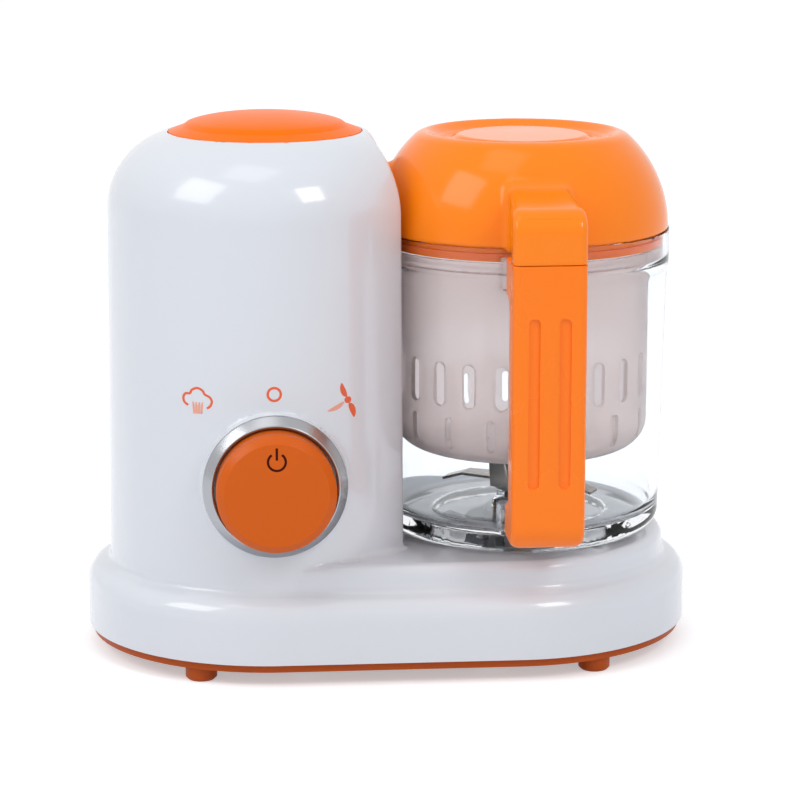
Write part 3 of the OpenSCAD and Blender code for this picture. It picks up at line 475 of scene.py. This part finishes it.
def housing_field(x, y, z):
    """The white shell with the pad behind the knob, the filler neck, the jar's well and all holes."""
    outside = shell_outside(x, y, z)
    axis = np.hypot(x - TX, y)
    dial = np.hypot(x - TX, z - KNOB_Z)
    well = np.hypot(x - JX, y)
    pad = meet(dial - PAD_R, between(y, PAD_Y, PAD_Y + PAD_DEPTH), 0.7)
    body = cut(join(outside, pad, 1.5), outside + WALL)
    backing = between(y, PAD_Y + PAD_T, PAD_Y + BACKING_DEPTH)
    body = join(body, overlap(dial - BACKING_R, backing, outside))
    collar = np.maximum(between(axis, NECK_R, COLLAR_R), between(z, CAP_SEAT - COLLAR_H, CAP_SEAT))
    body = join(body, collar, 0.8)
    body = join(body, np.maximum(well - WELL_WALL_R, between(z, SEAT - 9.5, SEAT - 1)))
    body = join(body, np.maximum(well - BUSH_BOSS_R, between(z, BASE_Z + 16, SEAT - 7)))
    for post in screw_bosses(x, y):
        body = join(body, np.maximum(post, between(z, BASE_Z, SEAT - 1)))
    body = cut(body, np.maximum(axis - CAP_HOLE_R, CAP_SEAT - z), 0.5)
    body = cut(body, np.maximum(axis - NECK_R, CAP_SEAT - COLLAR_H - 1 - z), 0.5)
    body = cut(body, np.maximum(well - WELL_R, SEAT - WELL_DEPTH - z), 0.6)
    body = cut(body, np.maximum(well - BUSH_HOLE_R, BASE_Z + 15 - z))
    body = cut(body, np.maximum(dial - POCKET_R, between(y, PAD_Y + PAD_T, PAD_Y + POCKET_DEPTH)))
    body = cut(body, np.maximum(dial - SPINDLE_HOLE_R, y - PAD_Y - POCKET_DEPTH))
    body = cut(body, np.maximum(np.hypot(y, z - PORT_Z) - PORT_HOLE_R, between(x - TX, 36, 50)), 0.4)
    body = cut(body, np.maximum(np.hypot(x - GLAND_X, z - GLAND_Z) - GLAND_HOLE_R, 74 - y))
    return np.maximum(body, BASE_Z - z)


shell_low, shell_high = (base_low[0], -BASE_R, BASE_Z), (base_high[0], BASE_R, TOWER_TOP)
shape = contour(housing_field, shell_low, shell_high, pitch=1.85)
piece("housing_shell", shape, (0, BY, 0), WHITE, "base",
      ("housing", "tower", "recess_panel"), FILLETED)

# ---- bezel, knob and cap ----------------------------------------------------

dial_at = (TX, BY + PAD_Y, KNOB_Z)


def turned_forward(outline):
    """A rounded outline turned round an axis that points at the viewer."""
    verts, faces = turned(rounded(outline))
    return lying(verts), faces


bezel_r = bezel_high[0] - TX
rim = knob_high[0] - TX + 0.7
shape = turned_forward([
    (rim, 0, 0), (bezel_r, 0, 0), (bezel_r, 1.6, 0.6), (rim + 1.1, 5.5, 0.6), (rim, 5.0, 0.4)])
piece("bezel_ring", shape, dial_at, CHROME, "base", ("knob_bezel",), FILLETED)

knob_r = knob_high[0] - TX
knob_out = BY + PAD_Y - knob_low[1]
knob_back = 0.6
hollow_r, hollow_end = knob_r - 2.5, knob_out - 4
hub_r = 9
socket_r, socket_end = 3.1, knob_out - 3.4
shape = turned_forward([
    (0, knob_out, 0), (knob_r - 3.2, knob_out - 0.1, 0.5), (knob_r, knob_out - 2.9, 1.0),
    (knob_r, knob_back, 0.4), (hollow_r, knob_back, 0), (hollow_r, hollow_end, 0), (hub_r, hollow_end, 0),
    (hub_r, knob_back, 0), (socket_r, knob_back, 0), (socket_r, socket_end, 0), (0, socket_end, 0)])
piece("knob_dial", shape, dial_at, KNOB, "knob", ("knob",), FILLETED)

cap_r = cap_high[0] - TX
cap_edge = CAP_SEAT + 2.5
dome_r, dome_z = cap_r - 6, cap_edge + 2.3
plug_r, plug_in, plug_z = 31, 28.5, CAP_SEAT - 9
ring_r, ring_z = 30, CAP_SEAT - 6
dome = [(dome_r, dome_z, 2.0)]
for t in (math.pi / 2 * i / 14 for i in range(3, 14)):
    dome.append((dome_r * math.cos(t), dome_z + (cap_high[2] - dome_z) * math.sin(t) ** 1.2, 0))
dome.append((0, cap_high[2], 0))
shape = turned(rounded([
    (0, cap_edge - 0.4, 0), (plug_in, cap_edge - 0.4, 0), (plug_in, plug_z, 0.4), (plug_r, plug_z, 0.5),
    (plug_r, ring_z, 0), (ring_r, ring_z, 0), (ring_r, ring_z + 3, 0), (plug_r, ring_z + 3, 0),
    (plug_r, CAP_SEAT + 0.3, 0), (cap_r, CAP_SEAT + 0.3, 0.2), (cap_r, cap_edge + 0.1, 0.5)] + dome))
piece("tank_cap_dome", shape, (TX, BY, 0), CAP, "tank_cap", ("tank_cap",), FILLETED)

# ---- feet -------------------------------------------------------------------

foot_low, foot_high = box("feet")
foot_r, foot_top = 6.8, 6.5
peg_r, peg_top = 3, 9.5
outline = rounded([
    (0, 0, 0), (foot_r - 1.2, 0, 0.4), (foot_r, 1.2, 0.8), (foot_r, foot_top, 0), (peg_r, foot_top, 0),
    (peg_r, peg_top, 0.4), (0, peg_top, 0)])
foot, foot_faces = turned(outline, 64)
verts, faces = [], []
for px in (foot_low[0] + foot_r, foot_high[0] - foot_r):
    for py in (foot_low[1] + foot_r, foot_high[1] - foot_r):
        faces += [[v + len(foot) * len(verts) for v in f] for f in foot_faces]
        verts.append(foot + np.array([px, py, 0]))
piece("round_feet", (np.concatenate(verts), faces), (0, 0, 0), BASE, "base", ("feet",))

# ---- jar --------------------------------------------------------------------

JAR_R, JAR_R_HIGH, JAR_R_LOW = 65.2, 64.6, 61.8
JAR_WALL, RIM_WALL = 3, 2.3
JAR_ROUND = 9
RIM_Z = JAR_TOP - 16
LEDGE_Z = JAR_TOP - 12
FLOOR = JAR_Z + 8.8
LUG_HALF, LUG_OUT = 17, 9
TENON_HALF, TENON_OUT = 8, 19
HUB_R = 10
FOOT_RING_R = 39
SHAFT_HOLE_R = 6.5


def jar_field(x, y, z):
    """The clear jar with its two lugs for the handle, and the hub and hole for the blade."""
    r = np.hypot(x, y)
    wall_r = np.interp(z, [JAR_Z, RIM_Z - 1.5, RIM_Z, JAR_TOP], [JAR_R_LOW, JAR_R_HIGH, JAR_R, JAR_R])
    body = meet(meet(r - wall_r, JAR_Z - z, JAR_ROUND), z - JAR_TOP, 0.5)
    for z0, z1 in ((GRIP_TOP - 15, GRIP_TOP - 2), (GRIP_Z + 1.5, GRIP_Z + 14)):
        lug = meet(np.abs(x) - LUG_HALF, between(z, z0, z1), 1.5)
        lug = meet(lug, between(y, -JAR_R - LUG_OUT, -50), 1.0)
        mid = (z0 + z1) / 2
        tenon = meet(np.abs(x) - TENON_HALF, between(z, mid - 4, mid + 4), 0.6)
        tenon = meet(tenon, between(y, -JAR_R - TENON_OUT, -60), 0.6)
        body = join(join(body, lug, 2.0), tenon)
    heights = [FLOOR, LEDGE_Z - 2.3, LEDGE_Z + 0.3, JAR_TOP]
    radii = [JAR_R_LOW - JAR_WALL, JAR_R_HIGH - JAR_WALL, JAR_R - RIM_WALL, JAR_R - RIM_WALL]
    hollow = meet(r - np.interp(z, heights, radii), FLOOR - z, 7)
    hollow = cut(hollow, meet(r - HUB_R, z - (FLOOR + 7), 1.0), 2.0)
    body = cut(body, hollow, 0.4)
    body = cut(body, meet(r - FOOT_RING_R, z - (JAR_Z + 4.8), 1.0), 0.4)
    return cut(body, r - SHAFT_HOLE_R)


shape = contour(jar_field, (-66, -86, JAR_Z), (66, 66, JAR_TOP), pitch=1.3)
piece("clear_jar", shape, (JX, BY, 0), CLEAR, "jar", ("jar",), FILLETED)

# ---- handle -----------------------------------------------------------------

GRIP_ROUND = 12
GRIP_DEPTH = 15
GROOVE_X, GROOVE_R, GROOVE_DEPTH = 6.5, 2.4, 1.2
GRIP_SCREW_R = 3.25


def handle_field(x, y, z):
    """The handle with a gap for the fingers, two grooves, a pocket for its cover, and its sockets."""
    half = GRIP_W / 2
    side = meet(GRIP_FRONT - y, GRIP_Z - z, GRIP_ROUND)
    side = np.maximum(side, y + JAR_R + LUG_OUT)
    gap = meet(GRIP_FRONT + GRIP_DEPTH - y, between(z, GRIP_Z + 17, GRIP_TOP - 17), 6)
    side = cut(side, gap, 1.0)
    front = meet(np.abs(x) - half, GRIP_Z - z, 5)
    body = meet(side, front, 2.6)
    body = meet(body, z - GRIP_TOP, 0.7)
    for sx in (-GROOVE_X, GROOVE_X):
        mid, reach = (GRIP_Z + GRIP_TOP) / 2 + 3, 36
        run = np.hypot(x - sx, np.maximum(np.abs(z - mid) - reach + GROOVE_R, 0)) - GROOVE_R
        body = cut(body, meet(run, y - GRIP_FRONT - GROOVE_DEPTH, 0.5), 0.4)
    pocket = between(y, GRIP_FRONT + 3, GRIP_FRONT + GRIP_DEPTH + 1)
    body = cut(body, overlap(np.abs(x) - half + 3, pocket, between(z, GRIP_Z + 25, GRIP_TOP - 25)))
    for mid in (GRIP_TOP - 8.5, GRIP_Z + 7.75):
        socket = between(y, -JAR_R - TENON_OUT - 0.1, -60)
        tall = between(z, mid - 4.1, mid + 4.1)
        body = cut(body, overlap(np.abs(x) - TENON_HALF - 0.1, tall, socket))
    screw = np.hypot(x, y + JAR_R + 14) - GRIP_SCREW_R
    body = cut(body, np.maximum(screw, between(z, GRIP_Z - 1, GRIP_Z + 2.2)))
    return cut(body, np.maximum(screw, between(z, GRIP_TOP - 2.2, GRIP_TOP + 1)))


body_low, body_high = (-GRIP_W / 2, GRIP_FRONT, GRIP_Z), (GRIP_W / 2, -JAR_R - LUG_OUT, GRIP_TOP)
shape = contour(handle_field, body_low, body_high, pitch=0.9)
piece("grip_body", shape, (JX, BY, 0), GRIP, "jar", ("jar_handle",), FILLETED)

cover_low, cover_high = box("handle_cover")
cover_mid = (cover_low + cover_high) / 2
cover_half = (cover_high - cover_low) / 2


def cover_field(x, y, z):
    """The plate on the inside of the handle, with ribs for the fingers."""
    plate = meet(np.abs(x) - cover_half[0], np.abs(z) - cover_half[2], 1.5)
    plate = meet(plate, np.abs(y) - cover_half[1], 0.4)
    for middle in range(-24, 25, 8):
        channel = np.hypot(np.maximum(np.abs(x) - 6, 0), z - middle) - 1.6
        plate = cut(plate, meet(channel, cover_half[1] - 0.6 - y, 0.3), 0.3)
    return plate


shape = contour(cover_field, -cover_half, cover_half, pitch=0.7)
piece("grip_cover", shape, cover_mid, GRIP, "jar", ("handle_cover",), FILLETED)

# ---- basket -----------------------------------------------------------------

BASKET_R, BASKET_WALL = 56.3, 2
BASKET_RIM_R, BASKET_RIM_IN = 62.3, 60.7
BASKET_HOLE_R = 2.2


def slots(x, y, z, count, start, width, z0, z1):
    """Upright slots with round ends, evenly round the axis; start shifts them, in slots."""
    pitch = 2 * math.pi / count
    turn = np.mod(np.arctan2(y, x) - start * pitch + pitch / 2, pitch) - pitch / 2
    across = np.hypot(x, y) * np.sin(turn)
    along = np.maximum(np.abs(z - (z0 + z1) / 2) - (z1 - z0) / 2 + width / 2, 0)
    return np.hypot(across, along) - width / 2


def basket_field(x, y, z):
    """The basket: tall slots over short ones in its wall, and two rings of holes in its floor."""
    r = np.hypot(x, y)
    foot, top = basket_low[2], basket_high[2]
    body = meet(meet(r - BASKET_R, foot - z, 14), z - top + 3)
    body = join(body, meet(r - BASKET_RIM_R, between(z, top - 5, top), 0.5), 0.8)
    hollow = meet(r - (BASKET_R - BASKET_WALL), foot + BASKET_WALL - z, 12)
    body = cut(body, np.minimum(hollow, np.maximum(r - BASKET_RIM_IN, top - 3 - z)), 0.4)
    tall = slots(x, y, z, count=24, start=0, width=5.6, z0=foot + 26, z1=foot + 45)
    short = slots(x, y, z, count=18, start=0.5, width=3.0, z0=foot + 7, z1=foot + 21)
    body = cut(body, np.maximum(tall, 30 - r), 0.4)
    body = cut(body, np.maximum(short, 30 - r), 0.4)
    for count, out in ((6, 15.6), (12, 31.2)):
        pitch = 2 * math.pi / count
        turn = np.mod(np.arctan2(y, x) + pitch / 2, pitch) - pitch / 2
        hole = np.hypot(r * np.cos(turn) - out, r * np.sin(turn)) - BASKET_HOLE_R
        body = cut(body, np.maximum(hole, z - foot - 8), 0.3)
    return body


shape = contour(basket_field, (-63, -63, basket_low[2]), (63, 63, basket_high[2]), pitch=1.15)
piece("frosted_basket", shape, (JX, BY, 0), FROST, "basket", ("steam_basket",), FILLETED)

# ---- lid --------------------------------------------------------------------

# The lid's top is a flat with a round dish: how far below the top it lies at each radius.
DISH_R = [0, 28, 30.5, 36.5, 42, 44, 70]
DISH_Z = [-1.7, -1.9, -3.6, -3.6, -0.3, 0, 0]
DOME_R, DOME_FLAT_R = 54.2, 10.4
LID_WALL = 2.5
SKIRT_R, SKIRT_IN = 61.3, 59.3
INLET_R, INLET_HOLE_R = 9, 5.05
# Half the tab's width at distances in front of the jar's axis.
TAB_OUT = [40, 64, 78, 92, 100.5]
TAB_HALF = [12.6, 12.8, 13.6, 15.3, 15.5]
TAB_SLOPE = 0.125


def lid_field(x, y, z):
    """The lid: a hollow dome with a dished top, a steam inlet towards the tower and a sloping tab."""
    r = np.hypot(x, y)
    dome = np.hypot(np.maximum(r - DOME_FLAT_R, 0), np.maximum(z - LID_Z, 0)) - DOME_R
    top = z - (LID_TOP + np.interp(r, DISH_R, DISH_Z))
    body = meet(meet(dome, top, 2.6), LID_Z - z, 0.5)
    inlet = np.hypot(y, z - PORT_Z)
    body = join(body, np.maximum(meet(inlet - INLET_R, r - 67, 0.6), x + 16), 2.5)
    half = np.interp(-y, TAB_OUT, TAB_HALF)
    slope = (z - (LID_Z + 25 + (y + 60.6) * TAB_SLOPE)) * 0.99
    tab = meet(meet(slope, GRIP_FRONT - y, 9), np.abs(x) - half, 3.0)
    tab = meet(np.maximum(tab, y + 20), GRIP_TOP + 0.3 - z, 0.6)
    tab = cut(tab, np.maximum(r - JAR_R - 0.8, z - LID_Z))
    body = join(body, tab, 4.0)
    body = cut(body, np.maximum(np.maximum(dome, top) + LID_WALL, LID_Z - 6 - z))
    skirt = np.maximum(between(r, SKIRT_IN, SKIRT_R), between(z, lid_low[2], LID_Z + 3))
    body = join(body, skirt, 0.6)
    under = overlap(np.abs(x) - 10.4, between(y, GRIP_FRONT + 3, -JAR_R - 4), z - (LID_Z + 17))
    body = cut(body, under, 1.0)
    return cut(body, np.maximum(inlet - INLET_HOLE_R, x + 30), 0.4)


shape = contour(lid_field, (-68, GRIP_FRONT, lid_low[2]), (66, 66, LID_TOP), pitch=1.2)
piece("domed_lid", shape, (JX, BY, 0), ORANGE, "lid", ("lid",), FILLETED)

# ---- printed signs ----------------------------------------------------------


def curve_through(points, steps=6):
    """A smooth line through the points, as a Catmull-Rom curve."""
    p = [np.array(q, float) for q in [points[0]] + list(points) + [points[-1]]]
    line = []
    for a, b, c, d in zip(p, p[1:], p[2:], p[3:]):
        for t in (i / steps for i in range(steps)):
            square, cube = 2 * a - 5 * b + 4 * c - d, 3 * b - a - 3 * c + d
            line.append(0.5 * (2 * b + (c - a) * t + square * t * t + cube * t ** 3))
    return line + [p[-1]]


def stroke(line, widths):
    """A ribbon along a line, with a width that may change along it."""
    line = np.array(line)
    along = np.gradient(line, axis=0)
    along /= np.linalg.norm(along, axis=1, keepdims=True)
    across = np.stack([-along[:, 1], along[:, 0]], 1)
    n = len(line)
    half = np.interp(np.linspace(0, 1, n), np.linspace(0, 1, len(widths)), widths)[:, None] / 2
    quads = [[i, i + 1, n + i + 1, n + i] for i in range(n - 1)]
    return np.concatenate([line + across * half, line - across * half]), quads


def circle(radius, start=0.0, end=360.0, steps=48):
    """Points of an arc, in degrees from straight up."""
    angles = np.radians(np.linspace(start, end, steps + 1))
    return [(radius * math.sin(t), radius * math.cos(t)) for t in angles]


def printed(name, strokes, centre, onto, material, body, depth=0.06):
    """Ink of a little thickness on a surface: onto gives the surface's Y at X and Z."""
    verts, faces = [], []
    for points, quads in strokes:
        n = len(points)
        flat = [(centre[0] + x, centre[1] + z) for x, z in points]
        flat = [(x, onto(x, z), z) for x, z in flat]
        low = len(verts)
        verts += [(x, y - depth, z) for x, y, z in flat] + [(x, y + depth, z) for x, y, z in flat]
        half = n // 2
        faces += [[low + v for v in q] for q in quads] + [[low + n + v for v in q[::-1]] for q in quads]
        rim = list(range(half)) + list(range(n - 1, half - 1, -1))
        for a, b in zip(rim, rim[1:] + rim[:1]):
            faces.append([low + b, low + a, low + n + a, low + n + b])
    return piece(name, (verts, faces), (0, 0, 0), material, body)


def tower_front(x, z):
    """Y of the tower's front wall."""
    r = TOWER_R + (TOWER_R_HIGH - TOWER_R) * (z - SEAT) / (SHOULDER_Z - SEAT)
    return BY - math.sqrt(r * r - (x - TX) ** 2)


STEAM_SIGN = (TX - 32, 121.5)
OFF_SIGN = (TX, 125.2)
FAN_SIGN = (TX + 31.5, 120.8)

cloud = curve_through([
    (-4.0, -2.3), (-5.6, -0.9), (-5.9, 1.2), (-4.9, 2.7), (-3.2, 2.9), (-2.3, 4.5), (0, 5.4), (2.1, 4.4),
    (3.0, 2.9), (5.0, 1.8), (5.9, 0), (5.2, -2.0), (3.8, -3.1)])
printed("sign_steam", [stroke(cloud, [1.0])], STEAM_SIGN, tower_front, PRINT, "base")
plumes = []
for s in (-1.5, -0.5, 0.5, 1.5):
    plume = curve_through([(s * 1.35, -0.6), (s * 1.15, -2.4), (s * 1.0, -5.6)])
    plumes.append(stroke(plume, [0.5, 0.95, 0.9]))
printed("sign_plumes", plumes, STEAM_SIGN, tower_front, PALE_PRINT, "base")
printed("sign_off", [stroke(circle(2.75), [1.05])], OFF_SIGN, tower_front, PRINT, "base")


def leaf(tip, width):
    """A blade that widens from the hub and closes at its tip."""
    tip = np.array(tip, float)
    side = np.array([-tip[1], tip[0]]) / np.linalg.norm(tip)
    spine = curve_through([tip * 0.2, tip * 0.45 + side * 0.5, tip * 0.75 + side * 0.45, tip])
    return stroke(spine, [0.7, width * 0.9, width, width * 0.7, 0.3])


blades = [leaf((-2.7, 7.5), 2.4), leaf((2.7, -7.8), 2.6), stroke(circle(0.75), [1.5])]
printed("sign_blades", blades, FAN_SIGN, tower_front, PRINT, "base")
swirl = [leaf((-8.9, -4.0), 2.0)]
printed("sign_swirl", swirl, FAN_SIGN, tower_front, PALE_PRINT, "base")


def knob_face(x, z):
    """Y of the knob's flat face."""
    return knob_low[1] + 0.06


power = [stroke(circle(3.7, 35, 325), [1.0]), stroke([(0, 5.9), (0, 3.3), (0, 0.7)], [1.0])]
printed("sign_power", power, (TX, KNOB_Z + 14.6), knob_face, INK, "knob", 0.05)

# ---- stage, lights and camera ----------------------------------------------


def seen_white(tree, plain, level):
    """Two nodes: one picks the rays that see a plain white, and the other is that white.

    They are the camera's rays and those that a piece reflects or lets through.
    """
    path = add(tree, "ShaderNodeLightPath")
    seen = add(tree, "ShaderNodeMath", operation="MAXIMUM")
    clear = add(tree, "ShaderNodeMath", operation="MAXIMUM")
    tree.links.new(path.outputs["Is Glossy Ray"], clear.inputs[0])
    tree.links.new(path.outputs["Is Transmission Ray"], clear.inputs[1])
    tree.links.new(path.outputs["Is Camera Ray"], seen.inputs[0])
    tree.links.new(clear.outputs[0], seen.inputs[1])
    kind = "ShaderNodeBackground" if plain.type == "BACKGROUND" else "ShaderNodeEmission"
    glow = add(tree, kind, {"Strength": level})
    glow.inputs["Color"].default_value = (1, 1, 1, 1)
    return seen, glow


floor_mat = bpy.data.materials.new("floor")
floor_mat.use_nodes = True
tree = floor_mat.node_tree
shader = tree.nodes["Principled BSDF"]
shader.inputs["Base Color"].default_value = (0.8, 0.8, 0.81, 1)
shader.inputs["Roughness"].default_value = 0.9
seen, glow = seen_white(tree, shader, level=0.42)
both = add(tree, "ShaderNodeAddShader")
tree.links.new(shader.outputs[0], both.inputs[0])
tree.links.new(glow.outputs[0], both.inputs[1])
mix = add(tree, "ShaderNodeMixShader")
tree.links.new(seen.outputs[0], mix.inputs[0])
tree.links.new(shader.outputs[0], mix.inputs[1])
tree.links.new(both.outputs[0], mix.inputs[2])
tree.links.new(mix.outputs[0], tree.nodes["Material Output"].inputs["Surface"])
mesh = bpy.data.meshes.new("floor")
mesh.from_pydata([(-4, -4, 0), (4, -4, 0), (4, 4, 0), (-4, 4, 0)], [], [(0, 1, 2, 3)])
mesh.materials.append(floor_mat)
floor = bpy.data.objects.new("floor", mesh)
bpy.context.scene.collection.objects.link(floor)

world = bpy.data.worlds.new("studio")
bpy.context.scene.world = world
world.use_nodes = True
tree = world.node_tree
plain = tree.nodes["Background"]
way = add(tree, "ShaderNodeTexCoord")
axes = add(tree, "ShaderNodeSeparateXYZ")
tree.links.new(way.outputs["Generated"], axes.inputs[0])
lift = add(tree, "ShaderNodeMapRange", {"From Min": -0.15, "From Max": 0.9, "To Min": 0.0, "To Max": 1.0})
tree.links.new(axes.outputs["Z"], lift.inputs["Value"])
sky = add(tree, "ShaderNodeValToRGB")
sky.color_ramp.elements[0].color = (0.88, 0.90, 0.94, 1)
sky.color_ramp.elements[1].color = (0.95, 0.97, 1.0, 1)
tree.links.new(lift.outputs["Result"], sky.inputs["Fac"])
tree.links.new(sky.outputs["Color"], plain.inputs["Color"])
plain.inputs["Strength"].default_value = 0.74
seen, glow = seen_white(tree, plain, level=1.0)
mix = add(tree, "ShaderNodeMixShader")
tree.links.new(seen.outputs[0], mix.inputs[0])
tree.links.new(plain.outputs[0], mix.inputs[1])
tree.links.new(glow.outputs[0], mix.inputs[2])
tree.links.new(mix.outputs[0], tree.nodes["World Output"].inputs["Surface"])


def softbox(name, place, target, width, height, power):
    """A soft rectangular lamp aimed at a point."""
    lamp = bpy.data.lights.new(name, "AREA")
    lamp.shape = "RECTANGLE"
    lamp.size, lamp.size_y, lamp.energy = width, height, power
    obj = bpy.data.objects.new(name, lamp)
    obj.location = place
    aim = [b - a for a, b in zip(place, target)]
    length = math.sqrt(sum(a * a for a in aim))
    obj.rotation_euler = (math.acos(-aim[2] / length), 0, math.atan2(-aim[0], aim[1]))
    bpy.context.scene.collection.objects.link(obj)


# Each lamp's place and aim, its two sides, all in metres, and its power in watts.
softbox("key", (-1.28, -0.66, 1.3), (0, 0, 0.12), 0.9, 0.9, 9)
softbox("fill", (0.78, -1.16, 1.3), (0, 0, 0.12), 0.5, 0.6, 7)
softbox("top", (-0.25, -0.35, 1.5), (0, 0, 0.1), 0.6, 0.6, 1.4)

# The camera's place in metres, how far it looks down and is turned in degrees, and its lens.
EYE = (-0.1078, -1.32725, 0.3955)
LOOK_DOWN, TURN = 12.16, -4.87
FOCAL, SENSOR = 138.65, 36

lens = bpy.data.cameras.new("camera")
lens.lens, lens.sensor_width = FOCAL, SENSOR
camera = bpy.data.objects.new("camera", lens)
camera.location = EYE
camera.rotation_euler = (math.radians(90 - LOOK_DOWN), 0, math.radians(TURN))
bpy.context.scene.collection.objects.link(camera)
bpy.context.scene.camera = camera
bpy.context.scene.view_settings.view_transform = "Standard"
